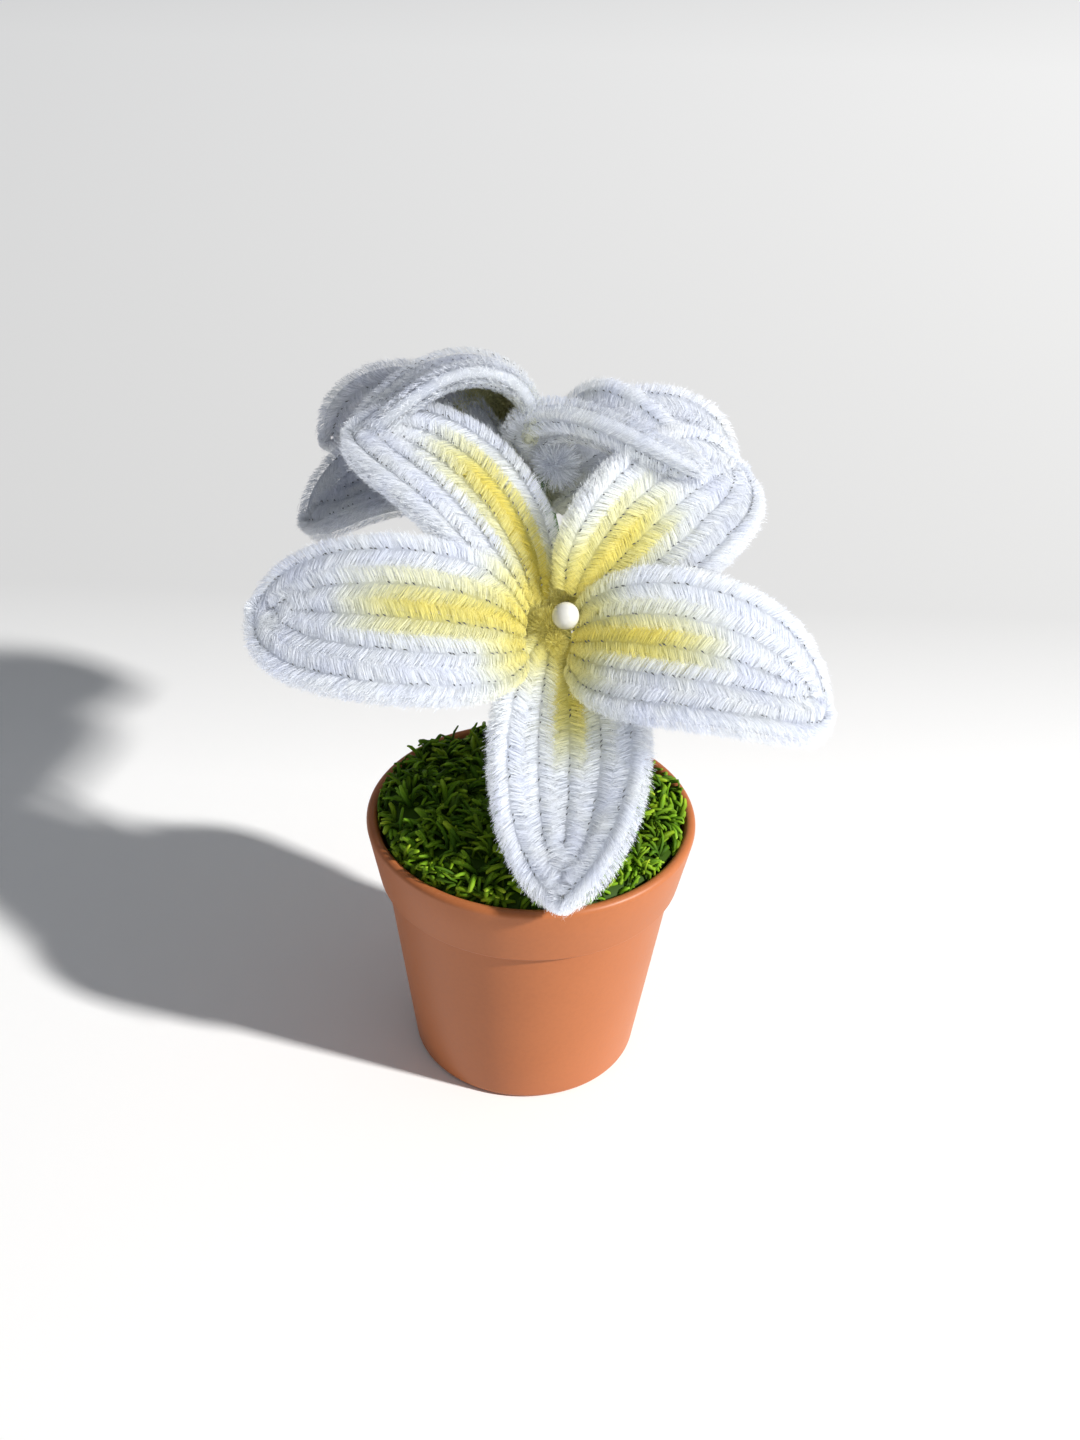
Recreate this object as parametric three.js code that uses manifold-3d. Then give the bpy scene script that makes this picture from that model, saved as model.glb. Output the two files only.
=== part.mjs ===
// Potted frangipani made from chenille stems, in millimetres, Z up, the pot standing on z = 0.
// The bottom petal of the front bloom points along -Y, which is the front of the piece.
import * as THREE from 'three';
import { mergeVertices } from 'three/addons/utils/BufferGeometryUtils.js';
import Module from 'manifold-3d';

const wasm = await Module();
wasm.setup();

// ---- pot -------------------------------------------------------------------------------------
const POT_HEIGHT = 64.5;
const RIM_RADIUS = 37.5;
const COLLAR_BOTTOM_Z = 49.4;
const COLLAR_BOTTOM_RADIUS = 34.8;
const BODY_TOP_RADIUS = 33.3;
const BASE_RADIUS = 26.35;
const BASE_ROUND = 1.9;
const BASE_SLOPE = 0.25; // the wall's lean over the height of the rounded foot
const COLLAR_CHAMFER = 0.45;
const RIM_WALL = 2.6;
const BODY_WALL = 2.0;
const FLOOR = 3.0;
const POT_SIDES = 36;
// ---- pieces inside and on top of the pot -----------------------------------------------------
const SEAT_GAP = 0.3;
const FOAM_TOP_Z = 55;
const MOSS_EDGE_Z = 62.5;
const MOSS_TOP_Z = 68;
const MOSS_SIDES = 24;
const MOSS_RINGS = 6;
const TUFT_COUNT = 78;
const TUFT_LENGTH = [7.0, 9.5];
const TUFT_RADIUS = [1.9, 2.7];
const TUFT_SUNK = 2.2;
const TUFT_FLATNESS = 0.6;
const TUFT_INSET = 2.2;
const TUFT_LEAN = [15, 60];
const TUFT_SCATTER = 3;
const TUFT_JITTER = 0.3;
const TUFT_SEED = 41;
const GOLDEN_ANGLE = 2.39996;
// ---- stems and beads ---------------------------------------------------------------------------
const STEM_RADIUS = 1.2;
const STEM_SIDES = 10;
const STEM_STEPS = 14;
const STEM_FOOT_Z = 12;
const KNOB_RADIUS = 3.3;
const KNOB_RINGS = 8;
const PEARL_RADIUS = 3.0;
const PEARL_SIDES = 14;
const PEARL_RINGS = 8;
// ---- chenille rows ------------------------------------------------------------------------------
const ROW_RADIUS = 3.75;
const ROW_SIDES = 6;
const TRIM_GAP = 0.35;
// share of the petal's length, then the share of the full half width or row radius there
const STATIONS = [0, 0.06, 0.12, 0.2, 0.3, 0.42, 0.55, 0.68, 0.78, 0.86, 0.92, 0.96, 1];
const POINTED = [0.2, 0.45, 0.65, 0.82, 0.94, 1, 0.985, 0.9, 0.78, 0.62, 0.46, 0.31, 0.1];
const BLUNT = [0.2, 0.45, 0.65, 0.82, 0.94, 1, 1, 0.94, 0.85, 0.72, 0.57, 0.41, 0.12];
const INNER = [0.09, 0.2, 0.3, 0.39, 0.465, 0.5, 0.49, 0.44, 0.36, 0.22, 0, 0, 0];
const PLUMP = [0.6, 0.72, 0.82, 0.93, 0.98, 1, 1, 1, 1, 0.99, 0.97, 0.9, 0.7];
const ROW_START = 0.05;
const INNER_END = 0.9;
const MIDDLE_END = 0.79;
const OUTER_STEPS = 9;
const INNER_STEPS = 6;
const MIDDLE_STEPS = 6;
const TIP_RADIUS = 3.4;
// ---- blooms --------------------------------------------------------------------------------------
// turn and tilt aim the bloom's axis; each petal leaves its root at `around` (clockwise seen from the
// front of the bloom), lifted off the bloom's plane, and curls, sweeps and twists by the degrees given
const FRONT_BLOOM = { turn: 0, tilt: 42 };
const BACK_BLOOM = { turn: 180, tilt: 62 };
const FRONT_PETALS = [
  {
    name: 'petal_front_bottom', root: [4.6, 11.6, 104.5], around: 169, lift: 16, roll: 27,
    curl: [-8, 7], sweep: 14, twist: -51, length: 61.2, half: 14.4, cup: 22, blunt: 0.0,
  },
  {
    name: 'petal_front_top_left', root: [-0.8, 11.4, 108.9], around: -19, lift: 7, roll: -49,
    curl: [-8, -52], sweep: -32, twist: 25, length: 61.7, half: 13.3, cup: 8, blunt: 0.3,
  },
  {
    name: 'petal_front_right', root: [7.3, 7.1, 104.9], around: 104, lift: 58, roll: -14,
    curl: [-60, -38], sweep: 0, twist: 44, length: 63.4, half: 14.5, cup: 18, blunt: 1.0,
  },
  {
    name: 'petal_front_left', root: [-2.4, 5.6, 105.9], around: 269, lift: 63, roll: -3,
    curl: [-87, -4], sweep: 20, twist: -5, length: 65.2, half: 15.2, cup: 8, blunt: 1.0,
  },
  {
    name: 'petal_front_top_right', root: [8.4, 11.9, 111.0], around: 40, lift: 26, roll: -11,
    curl: [-60, -12], sweep: 22, twist: 6, length: 60.6, half: 14.1, cup: 21, blunt: 0.6,
  },
];
const BACK_PETALS = [
  {
    name: 'petal_back_left', root: [-4.7, 48.3, 132.8], around: 91, lift: 127, roll: -4,
    curl: [-190, 30], sweep: -28, twist: 4, length: 54.6, half: 13.3, cup: 14, blunt: 0.5,
  },
  {
    name: 'petal_back_right', root: [2.8, 55.3, 124.3], around: 240, lift: 129, roll: 85,
    curl: [-176, 67], sweep: -60, twist: 37, length: 49.0, half: 12.5, cup: 56, blunt: 0.5,
  },
  {
    name: 'petal_back_far_right', root: [1.6, 43.3, 117.4], around: 224, lift: 56, roll: -2,
    curl: [-26, -33], sweep: 57, twist: -55, length: 57.2, half: 13.9, cup: 8, blunt: 0.6,
  },
  {
    name: 'petal_back_far_left', root: [1.0, 44.6, 119.7], around: 132, lift: 40, roll: -17,
    curl: [3, -91], sweep: -4, twist: -22, length: 68.9, half: 14.5, cup: 30, blunt: 0.6,
  },
  {
    name: 'petal_back_low_left', root: [2.7, 43.6, 120.2], around: 88, lift: 36, roll: 47,
    curl: [-47, -18], sweep: -38, twist: 6, length: 63.6, half: 14.4, cup: 26, blunt: 0.7,
  },
];
const FRONT_STEM = [[2, 3, STEM_FOOT_Z], [3, 6, 56], [4, 15, 86], [4.6, 17.6, 97], [4.8, 14.6, 101.5]];
const BACK_STEM = [
  [-3, 6, STEM_FOOT_Z], [-1, 10, 56], [3.4, 32, 95], [3.8, 41.5, 109], [1.8, 45.5, 118], [-0.8, 47.3, 123.5],
];
const PEARL_FRONT = [6.0, 5.6, 112.6];
const PEARL_BACK = [1.2, 52.0, 129.5];
// ---- colours ---------------------------------------------------------------------------------------
const TERRACOTTA = { color: 0xc98560, roughness: 0.5, metalness: 0 };
const WHITE_CHENILLE = { color: 0xeef0f4, roughness: 0.95, metalness: 0 };
const MOSS_GREEN = { color: 0x4a7d1c, roughness: 0.9, metalness: 0 };
const STEM_GREEN = { color: 0x3d6a22, roughness: 0.8, metalness: 0 };
const PEARL_CREAM = { color: 0xf2ecd8, roughness: 0.25, metalness: 0 };
const FOAM_GREEN = { color: 0x3f5a35, roughness: 0.95, metalness: 0 };

const radians = THREE.MathUtils.degToRad;
const vector = ([x, y, z]) => new THREE.Vector3(x, y, z);

function randomDraws(seed) {
  let state = seed;
  return () => {
    state = (state * 1664525 + 1013904223) % 4294967296;
    return state / 4294967296;
  };
}

function solidOf(geometry) {
  geometry.deleteAttribute('normal');
  geometry.deleteAttribute('uv');
  const merged = mergeVertices(geometry);
  return new wasm.Manifold(new wasm.Mesh({
    numProp: 3,
    vertProperties: new Float32Array(merged.attributes.position.array),
    triVerts: new Uint32Array(merged.index.array),
  }));
}

function geometryOf(solid) {
  const mesh = solid.getMesh();
  const geometry = new THREE.BufferGeometry();
  geometry.setAttribute('position', new THREE.BufferAttribute(new Float32Array(mesh.vertProperties), 3));
  geometry.setIndex(new THREE.BufferAttribute(new Uint32Array(mesh.triVerts), 1));
  geometry.computeVertexNormals();
  return geometry;
}

function fused(solids) {
  return solids.reduce((sum, solid) => sum.add(solid));
}

function largestBody(solid) {
  return solid.decompose().reduce((best, body) => (body.volume() > best.volume() ? body : best));
}

function boxesMeet(a, b) {
  return [0, 1, 2].every((k) => a.min[k] < b.max[k] && b.min[k] < a.max[k]);
}

function cutClear(solid, keepOuts) {
  const near = keepOuts.filter((other) => boxesMeet(solid.boundingBox(), other.boundingBox()));
  return largestBody(near.reduce((rest, other) => rest.subtract(other), solid));
}

// turns a profile of [radius, height] points about the vertical axis
function turned(profile, sides) {
  const points = profile.map(([radius, height]) => new THREE.Vector2(radius, height));
  return solidOf(new THREE.LatheGeometry(points, sides).rotateX(Math.PI / 2));
}

function sampled(values, share) {
  const next = STATIONS.findIndex((station) => station >= share);
  if (next <= 0) return values[0];
  const span = STATIONS[next] - STATIONS[next - 1];
  return THREE.MathUtils.lerp(values[next - 1], values[next], (share - STATIONS[next - 1]) / span);
}

// bends a cylinder along the centres; `faces` keep its flats turned the same way
function tubeAlong(centres, faces, radii, sides) {
  const steps = centres.length - 1;
  const geometry = new THREE.CylinderGeometry(1, 1, 1, sides, steps);
  const position = geometry.attributes.position;
  for (let i = 0; i < position.count; i += 1) {
    const step = Math.round((position.getY(i) + 0.5) * steps);
    const tangent = centres[Math.min(step + 1, steps)].clone().sub(centres[Math.max(step - 1, 0)]).normalize();
    const side = tangent.clone().cross(faces[step]).normalize();
    const face = side.clone().cross(tangent);
    const point = centres[step].clone();
    point.addScaledVector(side, position.getX(i) * radii[step]);
    point.addScaledVector(face, position.getZ(i) * radii[step]);
    position.setXYZ(i, point.x, point.y, point.z);
  }
  return solidOf(geometry);
}

// ---- pot and what it holds -----------------------------------------------------------------------
function innerRadius(z) {
  const atCollar = BODY_TOP_RADIUS - BODY_WALL;
  if (z > COLLAR_BOTTOM_Z) {
    const share = (z - COLLAR_BOTTOM_Z) / (POT_HEIGHT - COLLAR_BOTTOM_Z);
    return THREE.MathUtils.lerp(atCollar, RIM_RADIUS - RIM_WALL, share);
  }
  return THREE.MathUtils.lerp(BASE_RADIUS - BODY_WALL, atCollar, z / COLLAR_BOTTOM_Z);
}

function arc(centreRadius, centreZ, radius, fromDegrees, toDegrees, steps) {
  return Array.from({ length: steps + 1 }, (_, i) => {
    const angle = radians(THREE.MathUtils.lerp(fromDegrees, toDegrees, i / steps));
    return [centreRadius + radius * Math.cos(angle), centreZ + radius * Math.sin(angle)];
  });
}

function pot() {
  const lip = RIM_WALL / 2;
  return turned([
    [0, 0],
    ...arc(BASE_RADIUS - BASE_ROUND + BASE_SLOPE, BASE_ROUND, BASE_ROUND, -90, -8, 4),
    [BODY_TOP_RADIUS, COLLAR_BOTTOM_Z],
    [COLLAR_BOTTOM_RADIUS - COLLAR_CHAMFER, COLLAR_BOTTOM_Z],
    [COLLAR_BOTTOM_RADIUS, COLLAR_BOTTOM_Z + COLLAR_CHAMFER],
    ...arc(RIM_RADIUS - lip, POT_HEIGHT - lip, lip, 0, 180, 6),
    [innerRadius(COLLAR_BOTTOM_Z), COLLAR_BOTTOM_Z],
    [innerRadius(FLOOR), FLOOR],
    [0, FLOOR],
  ], POT_SIDES);
}

function foamPlug() {
  const bottom = FLOOR + SEAT_GAP;
  return turned([
    [0, bottom],
    [innerRadius(bottom) - SEAT_GAP, bottom],
    [innerRadius(COLLAR_BOTTOM_Z) - SEAT_GAP, COLLAR_BOTTOM_Z],
    [innerRadius(FOAM_TOP_Z) - SEAT_GAP, FOAM_TOP_Z],
    [0, FOAM_TOP_Z],
  ], MOSS_SIDES);
}

function mossHeight(radius) {
  const edge = innerRadius(MOSS_EDGE_Z) - SEAT_GAP;
  return MOSS_EDGE_Z + (MOSS_TOP_Z - MOSS_EDGE_Z) * Math.sqrt(Math.max(0, 1 - (radius / edge) ** 2));
}

// tufts follow a sunflower spiral, so that they stand about evenly apart
function tuft(index, draw) {
  const turn = index * GOLDEN_ANGLE + TUFT_JITTER * draw();
  const reach = Math.sqrt((index + draw()) / TUFT_COUNT) * (innerRadius(MOSS_EDGE_Z) - TUFT_INSET);
  const length = THREE.MathUtils.lerp(...TUFT_LENGTH, draw());
  const radius = THREE.MathUtils.lerp(...TUFT_RADIUS, draw());
  const lean = radians(THREE.MathUtils.lerp(...TUFT_LEAN, draw()));
  const heading = turn + (draw() - 0.5) * TUFT_SCATTER;
  const cone = new THREE.ConeGeometry(radius, length, 4).rotateX(Math.PI / 2);
  cone.scale(1, TUFT_FLATNESS, 1).translate(0, 0, length / 2 - TUFT_SUNK);
  cone.rotateZ(draw() * Math.PI).rotateY(lean).rotateZ(heading);
  return solidOf(cone.translate(reach * Math.cos(turn), reach * Math.sin(turn), mossHeight(reach)));
}

function moss() {
  const bottom = FOAM_TOP_Z + SEAT_GAP;
  const edge = innerRadius(MOSS_EDGE_Z) - SEAT_GAP;
  const crown = Array.from({ length: MOSS_RINGS }, (_, i) => edge * Math.cos((i / MOSS_RINGS) * (Math.PI / 2)));
  const core = turned([
    [0, bottom],
    [innerRadius(bottom) - SEAT_GAP, bottom],
    ...crown.map((radius) => [radius, mossHeight(radius)]),
    [0, MOSS_TOP_Z],
  ], MOSS_SIDES);
  const draw = randomDraws(TUFT_SEED);
  return fused([core, ...Array.from({ length: TUFT_COUNT }, (_, i) => tuft(i, draw))]);
}

function stem(points, extra) {
  const curve = new THREE.CatmullRomCurve3(points.map(vector));
  const centres = curve.getPoints(STEM_STEPS);
  const faces = centres.map(() => new THREE.Vector3(1, 0, 0));
  const wire = tubeAlong(centres, faces, centres.map(() => STEM_RADIUS + extra), STEM_SIDES);
  const knob = new THREE.SphereGeometry(KNOB_RADIUS + extra, STEM_SIDES, KNOB_RINGS);
  return wire.add(solidOf(knob.translate(...points[points.length - 1])));
}

function pearl(centre, extra) {
  return solidOf(new THREE.SphereGeometry(PEARL_RADIUS + extra, PEARL_SIDES, PEARL_RINGS).translate(...centre));
}

// ---- petals ------------------------------------------------------------------------------------------
function bloomFrame({ turn, tilt }) {
  const flat = Math.cos(radians(tilt));
  const heading = radians(turn);
  const axis = vector([Math.sin(heading) * flat, -Math.cos(heading) * flat, Math.sin(radians(tilt))]);
  const right = new THREE.Vector3(0, 0, 1).cross(axis).normalize();
  return { right, up: axis.clone().cross(right), axis };
}

// turns the pair of unit vectors (a, b) by an angle, a towards b
function turnPair(a, b, angle) {
  const first = a.clone();
  a.multiplyScalar(Math.cos(angle)).addScaledVector(b, Math.sin(angle));
  b.multiplyScalar(Math.cos(angle)).addScaledVector(first, -Math.sin(angle));
}

const PATH_STEPS = 42;

// the petal's middle line as points with the directions along, across and out of its inner face
function petalPath(petal, bloom) {
  const { right, up, axis } = bloomFrame(bloom);
  const around = radians(petal.around);
  const along = up.clone().multiplyScalar(Math.cos(around)).addScaledVector(right, Math.sin(around));
  const across = right.clone().multiplyScalar(Math.cos(around)).addScaledVector(up, -Math.sin(around));
  const face = axis.clone();
  turnPair(along, face, radians(petal.lift));
  turnPair(across, face, radians(petal.roll));
  const point = vector(petal.root);
  const path = [{ point: point.clone(), across: across.clone(), face: face.clone() }];
  for (let i = 0; i < PATH_STEPS; i += 1) {
    const share = (i + 0.5) / PATH_STEPS;
    const curl = 2 * THREE.MathUtils.lerp(petal.curl[0], 0, share) + 2 * petal.curl[1] * share;
    turnPair(along, face, radians(curl) / PATH_STEPS);
    turnPair(along, across, radians(petal.sweep) / PATH_STEPS);
    turnPair(across, face, radians(petal.twist) / PATH_STEPS);
    point.addScaledVector(along, petal.length / PATH_STEPS);
    path.push({ point: point.clone(), across: across.clone(), face: face.clone() });
  }
  return path;
}

// the point `offset` millimetres round the cupped cross-section at a share of the petal's length
function rowAt(path, petal, share, offset) {
  const { point, across, face } = path[Math.round(share * PATH_STEPS)];
  const bend = radians(petal.cup) / petal.half;
  const angle = offset * bend;
  const centre = point.clone();
  centre.addScaledVector(across, Math.sin(angle) / bend);
  centre.addScaledVector(face, (1 - Math.cos(angle)) / bend);
  const lean = face.clone().multiplyScalar(Math.cos(angle)).addScaledVector(across, -Math.sin(angle));
  return { centre, lean };
}

function chenilleRow(path, petal, halfWidth, end, steps, extra) {
  const shares = Array.from({ length: steps + 1 }, (_, i) => THREE.MathUtils.lerp(ROW_START, end, i / steps));
  const stations = shares.map((share) => rowAt(path, petal, share, halfWidth(share) * petal.half));
  return tubeAlong(
    stations.map(({ centre }) => centre),
    stations.map(({ lean }) => lean),
    shares.map((share) => ROW_RADIUS * sampled(PLUMP, share) + extra),
    ROW_SIDES,
  );
}

function petalSolid(petal, bloom, extra) {
  const path = petalPath(petal, bloom);
  const outer = (share) => THREE.MathUtils.lerp(sampled(POINTED, share), sampled(BLUNT, share), petal.blunt);
  const inner = (share) => sampled(INNER, share);
  return fused([
    chenilleRow(path, petal, (share) => -outer(share), 1, OUTER_STEPS, extra),
    chenilleRow(path, petal, (share) => outer(share), 1, OUTER_STEPS, extra),
    chenilleRow(path, petal, (share) => -inner(share), INNER_END, INNER_STEPS, extra),
    chenilleRow(path, petal, (share) => inner(share), INNER_END, INNER_STEPS, extra),
    chenilleRow(path, petal, () => 0, MIDDLE_END, MIDDLE_STEPS, extra),
    solidOf(new THREE.IcosahedronGeometry(TIP_RADIUS + extra).translate(...path[PATH_STEPS].point)),
  ]);
}

// ---- assembly -------------------------------------------------------------------------------------------
const part = new THREE.Group();
part.name = 'potted_frangipani';

function place(name, solid, look) {
  const mesh = new THREE.Mesh(geometryOf(solid), new THREE.MeshStandardMaterial(look));
  mesh.name = name;
  part.add(mesh);
}

const keepOuts = [
  stem(FRONT_STEM, SEAT_GAP),
  stem(BACK_STEM, SEAT_GAP),
  pearl(PEARL_FRONT, SEAT_GAP),
  pearl(PEARL_BACK, SEAT_GAP),
];

function addPetals(petals, bloom) {
  for (const petal of petals) {
    place(petal.name, cutClear(petalSolid(petal, bloom, 0), keepOuts), WHITE_CHENILLE);
    keepOuts.push(petalSolid(petal, bloom, TRIM_GAP));
  }
}

place('pot', pot(), TERRACOTTA);
place('foam_plug', cutClear(foamPlug(), keepOuts), FOAM_GREEN);
place('stem_front', stem(FRONT_STEM, 0), STEM_GREEN);
place('stem_back', stem(BACK_STEM, 0), STEM_GREEN);
place('pearl_front', pearl(PEARL_FRONT, 0), PEARL_CREAM);
place('pearl_back', pearl(PEARL_BACK, 0), PEARL_CREAM);
addPetals(FRONT_PETALS, FRONT_BLOOM);
addPetals(BACK_PETALS, BACK_BLOOM);
place('moss', cutClear(moss(), keepOuts), MOSS_GREEN);

export default part;
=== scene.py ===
import math
from collections import namedtuple

import bpy
import numpy as np
from mathutils import Matrix, Vector


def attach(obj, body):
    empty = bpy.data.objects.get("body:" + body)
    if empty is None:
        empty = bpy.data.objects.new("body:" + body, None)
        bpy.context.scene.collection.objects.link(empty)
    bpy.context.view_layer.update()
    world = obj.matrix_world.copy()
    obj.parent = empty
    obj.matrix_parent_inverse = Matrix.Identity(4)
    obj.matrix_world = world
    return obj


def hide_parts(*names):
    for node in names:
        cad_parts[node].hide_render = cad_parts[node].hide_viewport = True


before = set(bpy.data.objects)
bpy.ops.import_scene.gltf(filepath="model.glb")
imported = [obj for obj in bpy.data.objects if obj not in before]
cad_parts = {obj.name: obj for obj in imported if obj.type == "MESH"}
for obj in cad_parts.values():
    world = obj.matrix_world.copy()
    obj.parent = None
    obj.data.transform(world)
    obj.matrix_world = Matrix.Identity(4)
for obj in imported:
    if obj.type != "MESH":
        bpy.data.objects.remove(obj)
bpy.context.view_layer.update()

MM = 0.001           # metres in a millimetre: lengths of the flower and the pot are in mm below

# ---------------------------------------------------------------- petal shapes, as in the CAD source
# root (mm) is where a petal starts. around turns it about its bloom's axis, lift raises it towards that
# axis, roll turns it about its own length. curl (at the root, at the tip), sweep and twist bend it along
# its length, and cup bends it across, all in degrees. blunt is 0 for a pointed tip and 1 for a round one.
Petal = namedtuple("Petal", "root around lift roll curl sweep twist length half cup blunt")
Bloom = namedtuple("Bloom", "turn tilt")

FRONT_BLOOM = Bloom(turn=0, tilt=42)
FRONT = {
    "front_bottom": Petal(root=(4.6, 11.6, 104.5), around=169, lift=16, roll=27, curl=(-8, 7),
                          sweep=14, twist=-51, length=61.2, half=14.4, cup=22, blunt=0.0),
    "front_top_left": Petal(root=(-0.8, 11.4, 108.9), around=-19, lift=7, roll=-49, curl=(-8, -52),
                            sweep=-32, twist=25, length=61.7, half=13.3, cup=8, blunt=0.3),
    "front_right": Petal(root=(7.3, 7.1, 104.9), around=104, lift=58, roll=-14, curl=(-60, -38),
                         sweep=0, twist=44, length=63.4, half=14.5, cup=18, blunt=1.0),
    "front_left": Petal(root=(-2.4, 5.6, 105.9), around=269, lift=63, roll=-3, curl=(-87, -4),
                        sweep=20, twist=-5, length=65.2, half=15.2, cup=8, blunt=1.0),
    "front_top_right": Petal(root=(8.4, 11.9, 111.0), around=40, lift=26, roll=-11, curl=(-60, -12),
                             sweep=22, twist=6, length=60.6, half=14.1, cup=21, blunt=0.6),
}
BACK_BLOOM = Bloom(turn=180, tilt=62)
BACK = {
    "back_left": Petal(root=(-4.7, 48.3, 132.8), around=91, lift=127, roll=-4, curl=(-190, 30),
                       sweep=-28, twist=4, length=54.6, half=13.3, cup=14, blunt=0.5),
    "back_right": Petal(root=(2.8, 55.3, 124.3), around=240, lift=129, roll=85, curl=(-176, 67),
                        sweep=-60, twist=37, length=49.0, half=12.5, cup=56, blunt=0.5),
    "back_far_right": Petal(root=(1.6, 43.3, 117.4), around=224, lift=56, roll=-2, curl=(-26, -33),
                            sweep=57, twist=-55, length=57.2, half=13.9, cup=8, blunt=0.6),
    "back_far_left": Petal(root=(1.0, 44.6, 119.7), around=132, lift=40, roll=-17, curl=(3, -91),
                           sweep=-4, twist=-22, length=68.9, half=14.5, cup=30, blunt=0.6),
    "back_low_left": Petal(root=(2.7, 43.6, 120.2), around=88, lift=36, roll=47, curl=(-47, -18),
                           sweep=-38, twist=6, length=63.6, half=14.4, cup=26, blunt=0.7),
}

# yellow paint: centre is across the petal (-1..1), width beside it, reach along the petal (0..1)
Paint = namedtuple("Paint", "centre width reach strength")
PAINT = {
    "front_bottom": Paint(-0.05, 0.44, 0.60, 0.92),
    "front_top_left": Paint(0.30, 0.48, 0.80, 1.0),
    "front_right": Paint(-0.10, 0.45, 0.66, 0.88),
    "front_left": Paint(0.20, 0.42, 0.74, 0.88),
    "front_top_right": Paint(-0.15, 0.60, 0.62, 0.86),
    "back_left": Paint(0.1, 0.6, 0.42, 0.40),
    "back_right": Paint(0.0, 0.6, 0.30, 0.15),
    "back_far_left": Paint(0.0, 0.7, 0.66, 0.50),
    "back_far_right": Paint(0.0, 0.7, 0.35, 0.20),
    "back_low_left": Paint(0.0, 0.6, 0.45, 0.40),
}
YELLOW_FADE = 0.34   # share of the petal's length over which the paint fades out
YELLOW_FALL = 1.6    # how fast it falls off beside its centre
YELLOW_NOISE = 0.04  # spread of the paint's strength from fibre to fibre
THROAT_FADE = (0.06, 0.30)   # shares of the length between which the throat's own yellow fades
THROAT_WIDTH, THROAT_STRENGTH = 1.1, 0.9

# knots of loose pile that fill the gaps where petals meet: centre and radius in mm
Knot = namedtuple("Knot", "centre radius fibres yellow")
KNOTS = {
    "front_bottom": [Knot((4.2, 5.8, 105.6), 2.5, 2600, 0.8), Knot((2.6, 10.0, 106.6), 4.8, 5200, 0.8),
                     Knot((-1.0, 12.5, 106.8), 4.6, 4200, 0.75), Knot((5.8, 16.5, 110.0), 5.0, 4400, 0.75)],
    "back_right": [Knot((2.6, 47.5, 128.6), 5.6, 5200, 0.0)],
    "back_low_left": [Knot((0.4, 47.6, 122.8), 5.0, 4200, 0.25)],
    "back_far_left": [Knot((-16.7, 58.1, 139.5), 4.6, 3200, 0.5), Knot((-12.6, 60.4, 139.4), 4.6, 3200, 0.5),
                      Knot((-8.8, 61.1, 136.8), 4.6, 3200, 0.5)],
}

# shares of a petal's length, and there: the outer loop's half width for a pointed and a blunt tip,
# the inner loop's, and how thick the rows are
STATIONS = [0, 0.06, 0.12, 0.2, 0.3, 0.42, 0.55, 0.68, 0.78, 0.86, 0.92, 0.96, 1]
POINTED = [0.2, 0.45, 0.65, 0.82, 0.94, 1, 0.985, 0.9, 0.78, 0.62, 0.46, 0.31, 0.1]
BLUNT = [0.2, 0.45, 0.65, 0.82, 0.94, 1, 1, 0.94, 0.85, 0.72, 0.57, 0.41, 0.12]
INNER = [0.09, 0.2, 0.3, 0.39, 0.465, 0.5, 0.49, 0.44, 0.36, 0.22, 0, 0, 0]
PLUMP = [0.6, 0.72, 0.82, 0.93, 0.98, 1, 1, 1, 1, 0.99, 0.97, 0.9, 0.7]
ROW_START, INNER_END, MIDDLE_END = 0.03, 0.94, 0.86
PATH_STEPS = 42
ROW_POINTS = 160

PILE_SIDE = 4.0      # mm, pile length across the row
PILE_FACE = 3.1      # mm, pile length towards the petal's faces
OUTWARD, INWARD = 0.96, 1.16   # the pile's reach at the petal's edge and towards the next row, as shares
SQUARENESS = 2.5     # power of the pile's rounded section
PARTING = 0.8        # degrees between the middle of a row and its first fibres
CLUMP = 0.8          # mm along the row for one clump of fibres
CLUMP_PULL = 0.24    # share by which a clump's tips close up
CLUMP_KINDS = 400    # random clumps before they come round again
LEAN = 0.52          # slope of the fibres towards the petal's tip
LEAN_WAVE = 17.0     # mm, the length of the slow waves in that slope
TIP_LEAN = 0.5       # what the slope gains by the row's tip
TIP_START = 0.93     # share of the petal's length where that begins
INNER_SHARE = 0.56   # share of the fibres on the petal's inner face
FRINGE_SHARE = 0.22  # share of the fibres that stand straight out sideways
GROOVE = 0.20        # share by which the pile is lower in the parting
GROOVE_END = 0.4     # share of the way from the parting to the side at which it is at full height
COMBED = 0.55        # share of the triangles that go to the long combed fibres on top
COMB_CLUMP = 0.55    # mm along the row for one clump of combed fibres
COMB_LEAN = 1.7      # times the lean of the pile below
LONG_SHARE = 0.16    # share of longer loose fibres
COLOUR_SPAN = 30     # mm of fibre that shift the paint by a whole half width
CORE_SIZE = 0.52     # the inner tube's size beside the pile's
CORE_SHADE = 0.36    # its painted shade on the shade scale: darker than the fibres, for the shade deep between them
WIRE_PITCH = 1.6     # mm between the turns of twisted wire that may show
WIRE_HIDDEN = 0.0    # level of a random curve below which they are covered
WIRE_WAVE = 13.0     # mm, the length of that curve's waves
WIRE_HALF = 0.18     # mm, half the width of a turn
TUFT_REACH = 3.5     # mm, pile length round the tip of the outer loop
TUFT_FIBRES = 1400
# triangles of pile in a petal: all pieces together stay under a million
FRONT_TRIANGLES, BACK_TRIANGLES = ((95500, 60000))


def turn_pair(a, b, angle):
    """Two directions at right angles, turned in their plane by an angle in radians."""
    c, s = math.cos(angle), math.sin(angle)
    return a * c + b * s, b * c - a * s


def unit(v):
    return v / np.maximum(np.linalg.norm(v, axis=-1, keepdims=True), 1e-12)


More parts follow.
